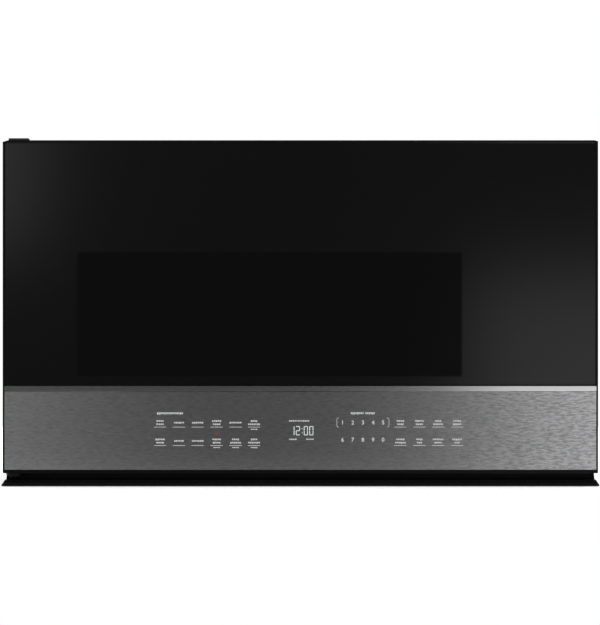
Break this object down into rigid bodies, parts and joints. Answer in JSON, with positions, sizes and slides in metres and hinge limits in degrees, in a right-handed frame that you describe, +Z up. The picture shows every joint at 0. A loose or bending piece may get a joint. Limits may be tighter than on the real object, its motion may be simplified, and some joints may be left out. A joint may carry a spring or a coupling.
{
  "type": "over the range microwave oven",
  "caption": "Over the range microwave oven with a full-width handle-less black glass door, a metal control panel in the door and a hood with filters and lamps beneath.",
  "frame": {"origin": "middle of the footprint, on the plane that the base stands on", "axes": "+Z up, -Y out of the door, +X to the right as seen from the front"},
  "size_m": [0.7634, 0.41, 0.4446],
  "materials": {
    "black_paint": "satin black powder coat on sheet steel",
    "galvanised_steel": "bare galvanised sheet",
    "zinc_steel": "zinc plated steel",
    "black_moulding": "gloss black moulding",
    "black_plastic": "matt black moulding",
    "cavity_enamel": "grey oven enamel",
    "white_plastic": "natural white moulding",
    "red_plastic": "red moulding",
    "mica": "mica sheet",
    "core_steel": "varnished laminations and winding",
    "aluminium_can": "drawn aluminium",
    "board": "circuit board with its parts",
    "filter_mesh": "aluminium mesh in an aluminium frame",
    "lamp_lens": "frosted lens",
    "charcoal": "charcoal granules in a paper and mesh frame",
    "clear_glass": "clear pressed glass",
    "black_glass": "polished black tempered glass",
    "bright_steel": "polished stainless strip",
    "brushed_panel": "dark stainless finish, grain along the width",
    "window_sheet": "clear sheet"
  },
  "bodies": {
    "case": {"outer_case": "black_paint", "rear_panel": "galvanised_steel", "front_plate": "black_paint", "base_pan": "black_paint", "base_lip": "black_moulding", "component_tray": "galvanised_steel", "top_vent_grille": "black_paint", "outlet_covers": "galvanised_steel", "mount_brackets": "zinc_steel", "cord_gland": "black_plastic", "case_screws": "zinc_steel", "cavity_liner": "cavity_enamel", "cavity_lamp": "white_plastic", "waveguide": "galvanised_steel", "waveguide_cover": "mica", "magnetron": "zinc_steel", "transformer": "core_steel", "capacitor": "aluminium_can", "circuit_boards": "board", "thermal_cutouts": "black_plastic", "fan_shroud": "galvanised_steel", "fan_motor": "core_steel", "cooktop_lamps": "lamp_lens", "blower_housing": "galvanised_steel", "blower_motor": "core_steel", "exhaust_duct": "galvanised_steel", "charcoal_filter": "charcoal", "turntable_motor": "zinc_steel", "upper_hinge_bracket": "zinc_steel", "lower_hinge_bracket": "black_paint", "hinge_pins": "zinc_steel", "hinge_cover": "black_plastic", "latch_board": "white_plastic", "interlock_switches": "black_plastic"},
    "turntable": {"turntable_tray": "clear_glass", "turntable_coupler": "white_plastic"},
    "roller_ring": {"roller_ring": "white_plastic"},
    "roller_1": {"roller_1": "white_plastic"},
    "roller_2": {"roller_2": "white_plastic"},
    "roller_3": {"roller_3": "white_plastic"},
    "blower_rotor": {"blower_rotor": "white_plastic"},
    "cooling_fan": {"fan_blade": "white_plastic"},
    "left_filter": {"grease_filter_left": "filter_mesh"},
    "right_filter": {"grease_filter_right": "filter_mesh"},
    "lower_button": {"switch_button_lower": "red_plastic"},
    "middle_button": {"switch_button_middle": "red_plastic"},
    "upper_button": {"switch_button_upper": "red_plastic"},
    "latch": {"door_latch": "white_plastic"},
    "door": {"door_frame": "black_moulding", "door_bushes": "white_plastic", "door_glass": "black_glass", "trim_strip": "bright_steel", "control_fascia": "brushed_panel", "touch_sensor": "board", "control_board": "board", "rear_cover": "black_moulding", "inner_panel": "black_paint", "inner_window": "window_sheet", "choke_cover": "black_plastic", "latch_spring": "zinc_steel"}
  },
  "joints": [
    {"name": "door_hinge", "type": "hinge", "parent": "case", "child": "door", "pos_m": [-0.365, -0.19, 0.2289], "axis": [0, 0, -1], "range_deg": [0, 110]},
    {"name": "latch_lift", "type": "slide", "parent": "door", "child": "latch", "axis": [0, 0, 1], "range_m": [0, 0.004], "stiffness_N_per_m": 400, "springref_m": -0.005, "deforming": ["latch_spring"]},
    {"name": "turntable_spin", "type": "hinge", "parent": "case", "child": "turntable", "pos_m": [-0.045, 0.011, 0.1086], "axis": [0, 0, 1], "continuous": true},
    {"name": "ring_roll", "type": "hinge", "parent": "case", "child": "roller_ring", "pos_m": [-0.045, 0.011, 0.0993], "axis": [0, 0, 1], "continuous": true},
    {"name": "roller_1_spin", "type": "hinge", "parent": "roller_ring", "child": "roller_1", "pos_m": [0.067, 0.011, 0.0993], "axis": [1, 0, 0], "continuous": true},
    {"name": "roller_2_spin", "type": "hinge", "parent": "roller_ring", "child": "roller_2", "pos_m": [-0.101, 0.10799, 0.0993], "axis": [-0.5, 0.866, 0], "continuous": true},
    {"name": "roller_3_spin", "type": "hinge", "parent": "roller_ring", "child": "roller_3", "pos_m": [-0.101, -0.086, 0.0993], "axis": [-0.5, -0.866, 0], "continuous": true},
    {"name": "blower_spin", "type": "hinge", "parent": "case", "child": "blower_rotor", "pos_m": [0, 0.146, 0.3895], "axis": [1, 0, 0], "continuous": true},
    {"name": "fan_spin", "type": "hinge", "parent": "case", "child": "cooling_fan", "pos_m": [0.306, 0.145, 0.28], "axis": [0, 1, 0], "continuous": true},
    {"name": "left_filter_slide", "type": "slide", "parent": "case", "child": "left_filter", "axis": [0, 1, 0], "range_m": [0, 0.006], "stiffness_N_per_m": 400, "springref_m": -0.004},
    {"name": "right_filter_slide", "type": "slide", "parent": "case", "child": "right_filter", "axis": [0, 1, 0], "range_m": [0, 0.006], "stiffness_N_per_m": 400, "springref_m": -0.004},
    {"name": "lower_button_press", "type": "slide", "parent": "case", "child": "lower_button", "axis": [0, 1, 0], "range_m": [0, 0.0015], "stiffness_N_per_m": 300, "springref_m": -0.001},
    {"name": "middle_button_press", "type": "slide", "parent": "case", "child": "middle_button", "axis": [0, 1, 0], "range_m": [0, 0.0015], "stiffness_N_per_m": 300, "springref_m": -0.001},
    {"name": "upper_button_press", "type": "slide", "parent": "case", "child": "upper_button", "axis": [0, 1, 0], "range_m": [0, 0.0015], "stiffness_N_per_m": 300, "springref_m": -0.001}
  ],
  "couplings": [
    {"joint": "ring_roll", "follows": "turntable_spin", "ratio": 0.5},
    {"joint": "roller_1_spin", "follows": "turntable_spin", "ratio": -6.2222},
    {"joint": "roller_2_spin", "follows": "turntable_spin", "ratio": -6.2222},
    {"joint": "roller_3_spin", "follows": "turntable_spin", "ratio": -6.2222}
  ]
}
